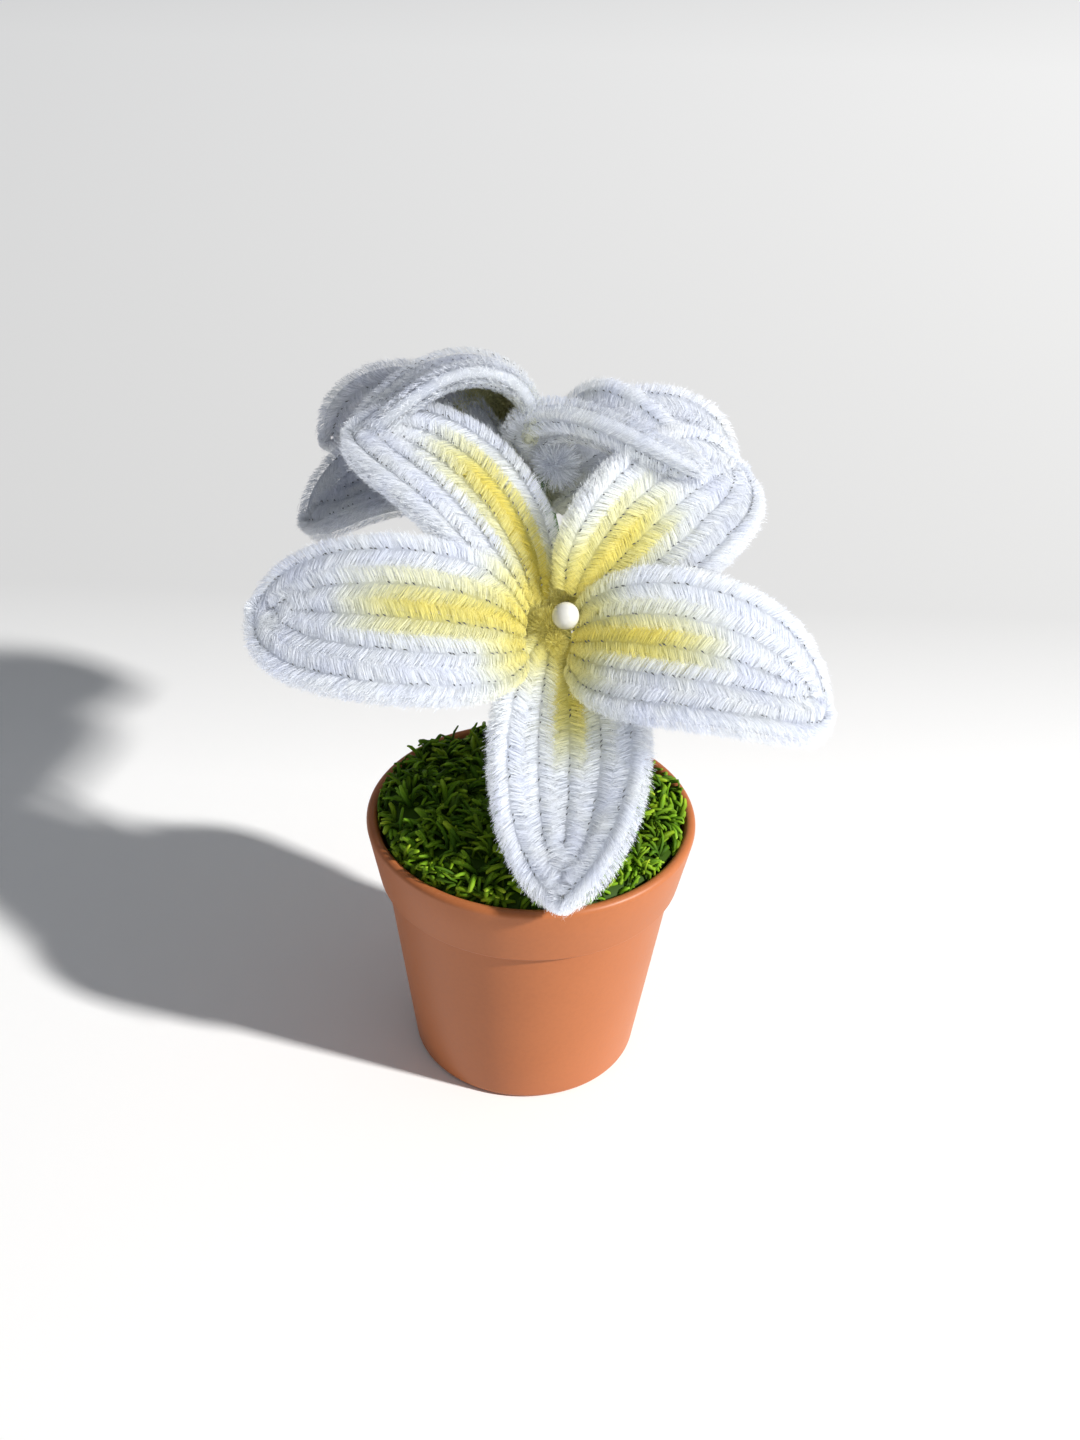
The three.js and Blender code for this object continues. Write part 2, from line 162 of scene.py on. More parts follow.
def smooth(lo, hi, x):
    """0 up to lo, 1 from hi on, and a smooth step between."""
    x = np.clip((x - lo) / (hi - lo), 0, 1)
    return x * x * (3 - 2 * x)


def read_table(x, places, table):
    """A table of points or directions read at x, where its rows stand at the given places."""
    return np.stack([np.interp(x, places, table[:, i]) for i in range(3)], -1)


def petal_path(shape, bloom):
    """The petal's middle line: its points, and its directions across the petal and out of its face."""
    turn, tilt = (math.radians(v) for v in bloom)
    axis = np.array([math.sin(turn) * math.cos(tilt), -math.cos(turn) * math.cos(tilt), math.sin(tilt)])
    right = unit(np.cross([0, 0, 1], axis))
    up = np.cross(axis, right)
    a = math.radians(shape.around)
    along = up * math.cos(a) + right * math.sin(a)
    across = right * math.cos(a) - up * math.sin(a)
    along, face = turn_pair(along, axis, math.radians(shape.lift))
    across, face = turn_pair(across, face, math.radians(shape.roll))
    point = np.array(shape.root, float)
    rows = [(point, across, face)]
    for i in range(PATH_STEPS):
        share = (i + 0.5) / PATH_STEPS
        bend = 2 * (shape.curl[0] * (1 - share) + shape.curl[1] * share)
        along, face = turn_pair(along, face, math.radians(bend) / PATH_STEPS)
        along, across = turn_pair(along, across, math.radians(shape.sweep) / PATH_STEPS)
        across, face = turn_pair(across, face, math.radians(shape.twist) / PATH_STEPS)
        point = point + along * shape.length / PATH_STEPS
        rows.append((point, across, face))
    return [np.array(v) for v in zip(*rows)]


Spot = namedtuple("Spot", "centre tangent side face t v plump")


class Row:
    """One chenille row of a petal: its centre line with directions, by arc length in mm.

    lane is -2 or 2 for a side of the outer loop, -1 or 1 for a side of the inner loop, 0 for the middle.
    """

    def __init__(self, path, shape, lane, end):
        t = np.linspace(ROW_START, end, ROW_POINTS)
        pointed, blunt = np.interp(t, STATIONS, POINTED), np.interp(t, STATIONS, BLUNT)
        outer = pointed * (1 - shape.blunt) + blunt * shape.blunt
        inner = np.interp(t, STATIONS, INNER)
        v = {2: outer, 1: inner, 0: 0 * t}[abs(lane)] * shape.half * np.sign(lane)
        k = math.radians(shape.cup) / shape.half
        point, across, face = (read_table(t * PATH_STEPS, range(PATH_STEPS + 1), p) for p in path)
        sideways, raised = np.sin(v * k) / k, (1 - np.cos(v * k)) / k
        self.centre = point + across * sideways[:, None] + face * raised[:, None]
        lean = face * np.cos(v * k)[:, None] - across * np.sin(v * k)[:, None]
        self.tangent = unit(np.gradient(self.centre, axis=0))
        self.side = unit(np.cross(self.tangent, lean))
        self.face = np.cross(self.side, self.tangent)
        self.t = t
        self.v = v / shape.half
        self.plump = np.interp(t, STATIONS, PLUMP)
        self.spread = {-1: OUTWARD if lane == -2 else INWARD, 1: OUTWARD if lane == 2 else INWARD}
        step = np.linalg.norm(np.diff(self.centre, axis=0), axis=1)
        self.s = np.concatenate([[0], np.cumsum(step)])
        self.length = self.s[-1]

    def at(self, s):
        lines = (self.centre, self.tangent, self.side, self.face)
        centre, tangent, side, face = (read_table(s, self.s, line) for line in lines)
        t, v, plump = (np.interp(s, self.s, values) for values in (self.t, self.v, self.plump))
        return Spot(centre, tangent, unit(side), unit(face), t, v, plump)


def beside(spot, x, y):
    """Points x mm to the side of a row's middle and y mm towards its face."""
    return spot.centre + spot.side * x[:, None] + spot.face * y[:, None]


def yellow_at(paint, t, v, rng):
    """Strength of the yellow (0..1) at share t along the petal and v across it."""
    soft = 1 - smooth(paint.reach - YELLOW_FADE, paint.reach, t)
    side = np.exp(-((v - paint.centre) / paint.width) ** 2 * YELLOW_FALL)
    throat = (1 - smooth(*THROAT_FADE, t)) * np.exp(-((v - paint.centre) / THROAT_WIDTH) ** 2)
    y = np.maximum(soft * side, THROAT_STRENGTH * throat) * paint.strength
    return np.clip(y + rng.normal(0, YELLOW_NOISE, len(np.atleast_1d(t))) * (y > 0.02), 0, 1)


# ---------------------------------------------------------------- meshes made of loose triangles
MAP_START, MAP_PAINT, MAP_SHADE = 0.04, 0.86, 0.80   # where paint and shade lie on the map OFBake
MAP_JITTER, MAP_FACE = 0.03, 0.012                   # a face's random shift and its size there
OTHER_SCALE, OTHER_CORNER = 0.03, (0.1, 0.95)        # the part of the map for the second material


def export_map(me, tri, paint, shade, mat):
    """The UV map called OFBake. A fibre's place there is its paint and shade, so that
    a small picture holds the colours of all of them."""
    flat = tri.ravel()
    jitter = np.random.default_rng(len(tri)).random((len(tri), 1, 2)) * MAP_JITTER
    uv = np.stack([MAP_START + MAP_PAINT * paint[flat], MAP_START + MAP_SHADE * shade[flat]], -1)
    uv = uv.reshape(-1, 3, 2) + jitter + np.array([[0, 0], [MAP_FACE, 0], [0, MAP_FACE]])
    uv[mat > 0] = uv[mat > 0] * OTHER_SCALE + np.array(OTHER_CORNER)
    me.uv_layers.new(name="OFBake").data.foreach_set("uv", uv.astype(np.float32).ravel())


def link(name, data):
    ob = bpy.data.objects.new(name, data)
    bpy.context.scene.collection.objects.link(ob)
    return ob


def declare(ob, cad_node):
    """The piece rides on the one body and stands for a CAD node, whose own mesh is hidden."""
    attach(ob, "root")
    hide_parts(cad_node)
    return ob


class Soup:
    """Collects triangles with a paint value, a shade value (their tone, with painted shade where it is low)
    and a material index.
    """

    def __init__(self):
        self.co, self.tri, self.paint, self.shade, self.mat = [], [], [], [], []
        self.n = 0

    def add(self, co, tri, paint, shade, mat=0):
        self.co.append(co)
        self.tri.append(tri + self.n)
        self.paint.append(np.broadcast_to(paint, len(co)))
        self.shade.append(np.broadcast_to(shade, len(co)))
        self.mat.append(np.full(len(tri), mat))
        self.n += len(co)

    def build(self, name, materials):
        """One mesh of all that was added, with the first material shaded smooth."""
        co = np.concatenate(self.co) * MM
        tri = np.concatenate(self.tri).astype(np.int32)
        paint = np.concatenate(self.paint).astype(np.float32)
        shade = np.concatenate(self.shade).astype(np.float32)
        mat = np.concatenate(self.mat).astype(np.int32)
        me = bpy.data.meshes.new(name)
        me.vertices.add(len(co))
        me.vertices.foreach_set("co", co.astype(np.float32).ravel())
        me.loops.add(len(tri) * 3)
        me.loops.foreach_set("vertex_index", tri.ravel())
        me.polygons.add(len(tri))
        me.polygons.foreach_set("loop_start", np.arange(0, len(tri) * 3, 3, dtype=np.int32))
        me.polygons.foreach_set("material_index", mat)
        for m in materials:
            me.materials.append(m)
        for key, values in (("paint", paint), ("shade", shade)):
            layer = me.attributes.new(key, "FLOAT", "POINT")
            layer.data.foreach_set("value", values)
        export_map(me, tri, paint, shade, mat)
        me.update(calc_edges=True)
        me.validate()
        me.polygons.foreach_set("use_smooth", mat == 0)
        return link(name, me)


def tube_faces(rings, sides):
    """Triangles between the rings of a tube whose vertices come ring after ring."""
    i, j = np.meshgrid(np.arange(rings - 1), np.arange(sides), indexing="ij")
    a, b = i * sides + j, i * sides + (j + 1) % sides
    low, high = np.stack([a, b, b + sides], -1), np.stack([a, b + sides, a + sides], -1)
    return [low.reshape(-1, 3), high.reshape(-1, 3)]


def closing_fan(first, sides, tip):
    """Triangles from the ring that begins at vertex first to one tip vertex."""
    k = np.arange(sides)
    return np.stack([first + k, first + (k + 1) % sides, np.full(sides, tip)], -1)


def ribbon_fibres(soup, start, end, wide, width, paint, start_shade, end_shade, rng, pointed=0.5):
    """Thin triangles from start to end; a share of them is pointed at the end, the rest at the start."""
    n = len(start)
    flip = rng.random(n) < pointed
    broad, point = np.where(flip[:, None], start, end), np.where(flip[:, None], end, start)
    w = wide * (width / 2)[:, None]
    co = np.stack([point, broad - w, broad + w], 1).reshape(-1, 3)
    tri = np.arange(3 * n).reshape(-1, 3)
    at_broad = np.where(flip, start_shade, end_shade)
    at_point = np.where(flip, end_shade, start_shade)
    soup.add(co, tri, np.repeat(paint, 3), np.stack([at_point, at_broad, at_broad], 1).ravel())


# ---------------------------------------------------------------- the pile of one row
def section(u, plump):
    """Point of the pile's outline at share u of the quarter from the parting (0) to the side (1)."""
    angle = np.radians(PARTING + (90 - PARTING) * u)
    c, s = np.cos(angle), np.sin(angle)
    power = 2 / SQUARENESS
    return PILE_SIDE * plump * np.abs(s) ** power, PILE_FACE * plump * np.sign(c) * np.abs(c) ** power


def groove(u, depth=1.0):
    """Height of the pile at share u beside its full height: lower in the parting."""
    return 1 - depth * GROOVE * (1 - smooth(0.0, GROOVE_END, u))


def slow_wave(rng, s, pitch, count=3):
    """A smooth random curve along a row, between about -1 and 1."""
    total = 0
    for k in range(count):
        total = total + np.sin(2 * math.pi * (s / (pitch * (1 + 0.45 * k)) + rng.random()))
    return total / count


def random_places(rng, row, count):
    """Places along the row, each with its side of the wire (-1, 1) and its face of the petal (-1, 1)."""
    s = rng.random(count) * row.length
    hand = np.where(rng.random(count) < 0.5, 1, -1)
    up = np.where(rng.random(count) < INNER_SHARE, 1, -1)
    return s, hand, up


def clump_values(rng, cell, hand, up):
    """Four random numbers for each fibre, the same ones for a whole clump on one side of one face."""
    table = rng.normal(0, 1, (4, CLUMP_KINDS, 4))
    return table[(hand > 0) * 2 + (up > 0), cell % CLUMP_KINDS]


def core_tube(soup, row, paint, rng, sides=12, steps=34):
    """The dense inside of the pile, which closes the view between the fibres; its dark tone is painted
    shade.
    """
    spot = row.at(np.linspace(0, row.length, steps + 1))
    share = np.linspace(0, 2, sides // 2)
    x, y = section(share, CORE_SIZE * groove(np.minimum(share, 2 - share), 2.0))
    x, y = np.concatenate([x, -x[::-1]]), np.concatenate([y, y[::-1]])
    ring = len(x)
    sideways = spot.side[:, None] * (spot.plump[:, None] * x)[..., None]
    raised = spot.face[:, None] * (spot.plump[:, None] * y)[..., None]
    co = spot.centre[:, None] + sideways + raised
    cap = np.array([[0, k + 1, k] for k in range(1, ring - 1)])
    tri = tube_faces(steps + 1, ring) + [cap, cap[:, ::-1] + steps * ring]
    yellow = yellow_at(paint, spot.t, spot.v, rng)
    soup.add(co.reshape(-1, 3), np.concatenate(tri), np.repeat(yellow, ring), CORE_SHADE)


def row_pile(soup, row, paint, rng, count):
    """The pile below: each fibre leaves the wire, bends over and lies across the row, in small clumps."""
    s, hand, up = random_places(rng, row, count)
    fringe = rng.random(count) < FRINGE_SHARE
    loose = rng.random(count) < LONG_SHARE
    # where the fibre starts and ends, as shares of the way from the parting to the side and of the height
    u0 = np.where(fringe, rng.uniform(0.55, 1.0, count), rng.random(count) ** 1.1)
    lying = rng.uniform(0.04, 0.50, count) * (1 - u0) + rng.normal(0.08, 0.06, count)
    turn = np.where(fringe, rng.normal(0.06, 0.10, count), lying)
    reach0 = np.where(fringe, 0.45, 0.48 + 0.36 * np.sqrt(u0)) + rng.normal(0, 0.05, count)
    cell = np.floor(s / CLUMP + 0.35 * np.sin(s * 1.7)).astype(int)
    clump = clump_values(rng, cell, hand, up)
    reach1 = groove(np.abs(u0 + turn)) + 0.03 * clump[:, 0] + rng.normal(0, 0.035, count)
    reach1 = reach1 + np.where(fringe, 0.04, 0) + np.where(loose, rng.uniform(0.04, 0.24, count), 0)
    spot = row.at(s)
    x0, y0 = section(u0, spot.plump)
    x1, y1 = section(u0 + turn, spot.plump)
    x0, y0, x1, y1 = x0 * reach0, y0 * reach0, x1 * reach1, y1 * reach1
    # how far the tip lies ahead along the row: the pile's lean, and the pull of its clump
    length = np.hypot(x1 - x0, y1 - y0)
    sweep = LEAN + 0.16 * slow_wave(rng, s, LEAN_WAVE) + 0.10 * clump[:, 1] + rng.normal(0, 0.07, count)
    sweep = sweep + TIP_LEAN * smooth(TIP_START, 1.0, spot.t)
    pull = ((cell + 0.5 + 0.25 * clump[:, 2]) * CLUMP - s) * CLUMP_PULL
    along = sweep * length + np.where(fringe, 0.5, 1.0) * pull * np.clip(length / 1.8, 0, 1)
    spread = np.where(hand > 0, row.spread[1], row.spread[-1])
    start = beside(spot, x0 * spread * hand, y0 * up)
    end = beside(spot, x1 * spread * hand, y1 * up) + spot.tangent * along[:, None]
    # the ribbon's width turns at random about the fibre
    direction = unit(end - start)
    roll = rng.normal(0, 0.8, count)
    flat = unit(spot.tangent - direction * (spot.tangent * direction).sum(1, keepdims=True))
    wide = flat * np.cos(roll)[:, None] + np.cross(direction, flat) * np.sin(roll)[:, None]
    width = rng.uniform(0.08, 0.14, count) * np.where(loose, 0.6, 1.0)
    pale = np.clip(0.86 + 0.04 * clump[:, 3] + rng.normal(0, 0.10, count), 0, 1)
    # the root end of each fibre is darker: painted shade deep in the pile, darkest near the parting
    root_shade = np.clip(0.44 + 0.30 * u0 + rng.normal(0, 0.06, count), 0, 1)
    yellow = yellow_at(paint, spot.t, spot.v + hand * x1 / COLOUR_SPAN, rng)
    ribbon_fibres(soup, start, end, wide, width, yellow, root_shade, pale, rng)


def combed_pile(soup, row, paint, rng, count):
    """Long fibres on top: each leaves the parting, bends over the row's shoulder and ends at its side."""
    s, hand, up = random_places(rng, row, count)
    cell = np.floor(s / COMB_CLUMP).astype(int)
    clump = clump_values(rng, cell, hand, up)
    spot = row.at(s)
    start_u = 0.28 * rng.random(count) ** 2
    span_u = rng.uniform(0.30, 0.70, count)
    reach = 1.0 + 0.025 * clump[:, 0] + rng.normal(0, 0.025, count)
    loose = rng.random(count) < LONG_SHARE
    rise = np.where(loose, rng.uniform(0.05, 0.25, count), rng.uniform(0.0, 0.06, count))
    sweep = LEAN + 0.12 * slow_wave(rng, s, LEAN_WAVE) + 0.06 * clump[:, 1] + rng.normal(0, 0.05, count)
    sweep = sweep + TIP_LEAN * smooth(TIP_START, 1.0, spot.t)
    spread = np.where(hand > 0, row.spread[1], row.spread[-1])
    points = []
    for share, height in ((0.0, 0.84), (0.5, 1.0), (1.0, 1.0)):
        u = start_u + span_u * share
        x, y = section(u, spot.plump)
        high = reach * height * groove(u) + rise * share
        ahead = sweep * COMB_LEAN * PILE_SIDE * span_u * share
        points.append(beside(spot, x * high * spread * hand, y * high * up) + spot.tangent * ahead[:, None])
    # two faces up to the shoulder and a pointed one beyond it
    wide = unit(spot.tangent - unit(points[2] - points[0]) * 0.4 + 0.3 * rng.normal(0, 1, (count, 3)))
    width = rng.uniform(0.06, 0.115, count)[:, None]
    near, far = wide * width / 2, wide * width * 0.4
    co = np.stack([points[0] - near, points[0] + near, points[1] - far, points[1] + far, points[2]], 1)
    faces = np.array([[0, 1, 3], [0, 3, 2], [2, 3, 4]])
    tri = (faces + np.arange(count)[:, None, None] * 5).reshape(-1, 3)
    pale = np.clip(0.80 + 0.05 * clump[:, 3] + rng.normal(0, 0.11, count), 0, 1)
    # darker at the root, painted shade under the top fibres, and a little lighter at the tip, painted light
    shade = np.stack([pale - 0.25, pale - 0.25, pale, pale, pale + 0.08], 1).clip(0, 1)
    yellow = yellow_at(paint, spot.t, spot.v + hand * 2.0 / COLOUR_SPAN, rng)
    soup.add(co.reshape(-1, 3), tri, np.repeat(yellow, 5), shade.ravel())


def wire_turns_and_parting_shade(soup, row, rng):
    """Dark turns of twisted wire in the parting of the pile, on both faces; raised near its top, they also
    paint the gap's shade.
    """
    for up in (1, -1):
        s = np.arange(1.5, row.length - 1.0, WIRE_PITCH)
        s = s + rng.normal(0, 0.35, len(s))
        seen = slow_wave(rng, s, WIRE_WAVE) + rng.normal(0, 0.45, len(s)) > WIRE_HIDDEN
        s = s[seen]
        if not len(s):
            continue
        spot = row.at(s)
        top = spot.face * up
        slant = rng.normal(0.55, 0.15, len(s))[:, None]
        long = unit(spot.tangent + spot.side * slant * up)
        wide = np.cross(long, top)
        half = rng.uniform(0.22, 0.68, len(s))[:, None]
        # raised near the pile's top, where only the shaded gap is: painted shade as well as wire
        raised = top * (PILE_FACE * 0.89 * spot.plump)[:, None]
        mid = spot.centre + raised + spot.side * rng.normal(0, 0.1, len(s))[:, None]
        a, b = mid - long * half - top * 0.25, mid + long * half - top * 0.25
        p, q = mid + wide * WIRE_HALF, mid - wide * WIRE_HALF
        crest = mid + top * 0.12
        co = np.stack([a, b, p, q, crest], 1).reshape(-1, 3)
        faces = np.array([[0, 2, 4], [2, 1, 4], [1, 3, 4], [3, 0, 4]])
        tri = (faces + np.arange(len(s))[:, None, None] * 5).reshape(-1, 3)
        soup.add(co, tri, 0.0, 0.0, mat=1)


def wire_end(soup, at, ahead, face):
    """The tip of the bent wire: four sides that narrow to a point."""
    u = unit(np.cross(ahead, face))
    ring = np.array([u, face, -u, -face]) * 0.26
    co = np.concatenate([at + ring, at + ahead * 0.9 + ring * 0.6, [at + ahead * 1.1]])
    tri = [[i, (i + 1) % 4, 4 + (i + 1) % 4] for i in range(4)]
    tri += [[i, 4 + (i + 1) % 4, 4 + i] for i in range(4)]
    tri += [[4 + i, 4 + (i + 1) % 4, 8] for i in range(4)]
    soup.add(co, np.array(tri), 0.0, 0.0, mat=1)


def tip_tuft(soup, row_a, row_b, rng):
    """The end of the outer loop, where the pile fans out round the bent wire."""
    end = (row_a.centre[-1] + row_b.centre[-1]) / 2
    ahead = unit(row_a.tangent[-1] + row_b.tangent[-1])
    face = unit(row_a.face[-1] + row_b.face[-1])
    d = rng.normal(0, 1, (TUFT_FIBRES, 3)) + ahead * 0.9
    d = unit(d - face * (d @ face)[:, None] * 0.35)
    reach = TUFT_REACH * (0.85 + 0.25 * rng.random(TUFT_FIBRES))
    wide = unit(np.cross(d, face + rng.normal(0, 0.3, (TUFT_FIBRES, 3))))
    # the roots are darker: painted shade inside the tuft
    root_shade, pale = np.full(TUFT_FIBRES, 0.55), np.clip(rng.normal(0.86, 0.05, TUFT_FIBRES), 0, 1)
    width = rng.uniform(0.14, 0.2, TUFT_FIBRES)
    ribbon_fibres(soup, end + d * 0.9, end + d * reach[:, None], wide, width, np.zeros(TUFT_FIBRES),
                  root_shade, pale, rng)
    wire_end(soup, end + ahead * 2.0 + face * 0.8, ahead, face)


def fuzz_ball(soup, knot, rng):
    """A round knot of short pile."""
    centre, count = np.array(knot.centre), knot.fibres
    d = unit(rng.normal(0, 1, (count, 3)))
    reach = knot.radius * rng.uniform(0.70, 1.22, count)
    wide = unit(np.cross(d, rng.normal(0, 1, (count, 3))))
    end = d + 0.45 * rng.normal(0, 1, (count, 3))
    # the roots are darker: painted shade inside the knot
    root_shade, pale = np.full(count, 0.30), np.clip(rng.normal(0.76, 0.10, count), 0, 1)
    width = rng.uniform(0.10, 0.16, count)
    ribbon_fibres(soup, centre + d * knot.radius * 0.40, centre + unit(end) * reach[:, None], wide, width,
                  np.full(count, knot.yellow), root_shade, pale, rng)


# ---------------------------------------------------------------- materials
THROUGH = 0.35       # share of the light that a fibre lets through

# colours by place on a scale from 0 to 1
# whites by the shade value: the dark, bluer end is painted shade in the pile, the pale end the fibres' own
# white
WHITE_BY_SHADE = [(0.0, (0.50, 0.52, 0.56)), (0.5, (0.78, 0.805, 0.855)), (0.9, (0.935, 0.95, 0.985))]
YELLOW_BY_PAINT = [(0.0, (1, 1, 1)), (0.3, (1.0, 0.975, 0.72)), (0.65, (1.0, 0.92, 0.38)),
                   (1.0, (0.99, 0.84, 0.15))]
TINT_BY_NOISE = [(0.35, (0.95, 0.96, 1.0)), (0.65, (1.0, 1.0, 0.98))]
# dark: the wire's own grey and the painted shade of the partings where its turns show
WIRE_AND_PARTING_SHADE_BY_NOISE = [(0.3, (0.05, 0.055, 0.06)), (0.7, (0.17, 0.18, 0.18))]
CLAY_BY_NOISE = [(0.3, (0.43, 0.135, 0.043)), (0.7, (0.46, 0.148, 0.049))]
SPECK_BY_NOISE = [(0.35, (0.96, 0.95, 0.94)), (0.6, (1, 1, 1))]
# moss by the shade value: the tufts' own random tone, with painted shade at the roots and in the bed and
# painted light at the tips
MOSS_BY_SHADE = [(0.0, (0.012, 0.030, 0.001)), (0.4, (0.060, 0.130, 0.004)), (0.75, (0.19, 0.32, 0.012)),
                 (1.0, (0.38, 0.52, 0.05))]
MOSS_BY_PAINT = [(0.0, (0.80, 1.0, 0.8)), (1.0, (1.0, 0.96, 0.6))]
PEARL_BY_NOISE = [(0.3, (0.71, 0.70, 0.65)), (0.7, (0.80, 0.79, 0.75))]
TAPE_BY_NOISE = [(0.3, (0.05, 0.14, 0.02)), (0.7, (0.14, 0.30, 0.05))]
FOAM_BY_NOISE = [(0.35, (0.03, 0.06, 0.02)), (0.65, (0.13, 0.22, 0.09))]
# the floor's grey by depth is painted shade for the light's falloff
FLOOR_SHADE_BY_DEPTH = [(0.02, (0.98, 0.98, 0.98)), (0.135, (0.745, 0.745, 0.745)), (0.97, (0.97, 0.97, 0.97))]


def material(name, colour, roughness, **more):
    """A material, its node tree and its shader, whose other inputs are named with _ for a space."""
    m = bpy.data.materials.new(name)
    m.use_nodes = True
    b = m.node_tree.nodes["Principled BSDF"]
    b.inputs["Base Color"].default_value = (*colour, 1)
    b.inputs["Roughness"].default_value = roughness
    for key, value in more.items():
        b.inputs[key.replace("_", " ")].default_value = value
    return m, m.node_tree, b


def node(tree, kind, **inputs):
    n = tree.nodes.new(kind)
    for key, value in inputs.items():
        n.inputs[key.replace("_", " ")].default_value = value
    return n


def attribute(tree, name):
    n = tree.nodes.new("ShaderNodeAttribute")
    n.attribute_name = name
    return n.outputs["Fac"]


def ramp(tree, factor, stops):
    """Colour by a value, from stops of (value, colour)."""
    r = tree.nodes.new("ShaderNodeValToRGB")
    while len(r.color_ramp.elements) < len(stops):
        r.color_ramp.elements.new(0.5)
    for e, (pos, colour) in zip(r.color_ramp.elements, stops):
        e.position = pos
        e.color = (*colour, 1)
    tree.links.new(factor, r.inputs["Fac"])
    return r.outputs["Color"]


def multiply(tree, a, b):
    """The product of two colours."""
    m = tree.nodes.new("ShaderNodeMix")
    m.data_type = "RGBA"
    m.blend_type = "MULTIPLY"
    factor, first, second = m.inputs[0], m.inputs[6], m.inputs[7]
    factor.default_value = 1.0
    tree.links.new(a, first)
    tree.links.new(b, second)
    return m.outputs[2]


def noise(tree, scale, detail=3.0):
    """Noise over the object, whose patches are about 1/scale of a metre."""
    coord = tree.nodes.new("ShaderNodeTexCoord")
    n = node(tree, "ShaderNodeTexNoise", Scale=scale, Detail=detail, Roughness=0.5)
    tree.links.new(coord.outputs["Object"], n.inputs["Vector"])
    return n.outputs["Fac"]


def bump(tree, shader, height, strength, distance):
    """Small relief on a shader, with its depth in metres."""
    n = node(tree, "ShaderNodeBump", Strength=strength, Distance=distance)
    tree.links.new(height, n.inputs["Height"])
    tree.links.new(n.outputs["Normal"], shader.inputs["Normal"])


def pile_material():
    m, tree, b = material("white_chenille", (0.9, 0.9, 0.92), 0.85, Specular_IOR_Level=0.25)
    # white by the shade value, whose low end is painted shade
    white = ramp(tree, attribute(tree, "shade"), WHITE_BY_SHADE)
    yellow = ramp(tree, attribute(tree, "paint"), YELLOW_BY_PAINT)
    tint = ramp(tree, noise(tree, 140.0), TINT_BY_NOISE)
    colour = multiply(tree, multiply(tree, white, yellow), tint)
    tree.links.new(colour, b.inputs["Base Color"])
    through = tree.nodes.new("ShaderNodeBsdfTranslucent")
    tree.links.new(colour, through.inputs["Color"])
    both = tree.nodes.new("ShaderNodeMixShader")
    both.inputs["Fac"].default_value = THROUGH
    tree.links.new(b.outputs[0], both.inputs[1])
    tree.links.new(through.outputs[0], both.inputs[2])
    tree.links.new(both.outputs[0], tree.nodes["Material Output"].inputs["Surface"])
    return m


# the wire's grey, darkened as painted shade for the partings where its turns show
def wire_and_parting_shade_material():
    m, tree, b = material("wire", (0.10, 0.11, 0.12), 0.45, Metallic=0.6)
    tree.links.new(ramp(tree, noise(tree, 900.0), WIRE_AND_PARTING_SHADE_BY_NOISE), b.inputs["Base Color"])
    return m


def pot_material():
    m, tree, b = material("terracotta_plastic", (0.55, 0.20, 0.08), 0.42, Specular_IOR_Level=0.35)
    fine = noise(tree, 900.0, 4.0)
    colour, speck = ramp(tree, noise(tree, 35.0), CLAY_BY_NOISE), ramp(tree, fine, SPECK_BY_NOISE)
    tree.links.new(multiply(tree, colour, speck), b.inputs["Base Color"])
    rough = node(tree, "ShaderNodeMapRange")
    rough.inputs["To Min"].default_value = 0.36
    rough.inputs["To Max"].default_value = 0.50
    tree.links.new(fine, rough.inputs["Value"])
    tree.links.new(rough.outputs["Result"], b.inputs["Roughness"])
    bump(tree, b, fine, 0.08, 0.0002)
    return m


def moss_material():
    m, tree, b = material("green_tufts", (0.15, 0.32, 0.03), 0.6, Specular_IOR_Level=0.15)
    # tone by the shade value: random tone with painted shade and light
    tone = ramp(tree, attribute(tree, "shade"), MOSS_BY_SHADE)
    hue = ramp(tree, attribute(tree, "paint"), MOSS_BY_PAINT)
    tree.links.new(multiply(tree, tone, hue), b.inputs["Base Color"])
    return m


def pearl_material():
    m, tree, b = material("pearl", (0.9, 0.88, 0.8), 0.22, Specular_IOR_Level=0.6, Coat_Weight=0.6,
                          Coat_Roughness=0.08)
    tree.links.new(ramp(tree, noise(tree, 260.0), PEARL_BY_NOISE), b.inputs["Base Color"])
    return m


def tape_material():
    m, tree, b = material("green_tape", (0.10, 0.22, 0.04), 0.7)
    grain = noise(tree, 700.0, 4.0)
    tree.links.new(ramp(tree, grain, TAPE_BY_NOISE), b.inputs["Base Color"])
    bump(tree, b, grain, 0.5, 0.0004)
    return m


def foam_material():
    m, tree, b = material("foam", (0.10, 0.17, 0.07), 0.95)
    tree.links.new(ramp(tree, noise(tree, 1500.0, 5.0), FOAM_BY_NOISE), b.inputs["Base Color"])
    return m


def floor_material():
    """Pale, with painted shade for the light's falloff: a grey that begins behind the object and fades again
    further back.
    """
    m, tree, b = material("pale_floor", (0.93, 0.93, 0.93), 0.9, Specular_IOR_Level=0.1)
    place = tree.nodes.new("ShaderNodeSeparateXYZ")
    tree.links.new(tree.nodes.new("ShaderNodeNewGeometry").outputs["Position"], place.inputs[0])
    depth = node(tree, "ShaderNodeMapRange")
    depth.inputs["From Min"].default_value = FADE_NEAR
    depth.inputs["From Max"].default_value = FADE_FAR
    tree.links.new(place.outputs["Y"], depth.inputs["Value"])
    tree.links.new(ramp(tree, depth.outputs["Result"], FLOOR_SHADE_BY_DEPTH), b.inputs["Base Color"])
    return m


# ---------------------------------------------------------------- petals
PILE, WIRE_AND_PARTING_SHADE = pile_material(), wire_and_parting_shade_material()
LANES = ((-2, 1), (-1, INNER_END), (0, MIDDLE_END), (1, INNER_END), (2, 1))   # lane, where it ends
FRONT_SEED, BACK_SEED = 100, 200     # of a bloom's first petal


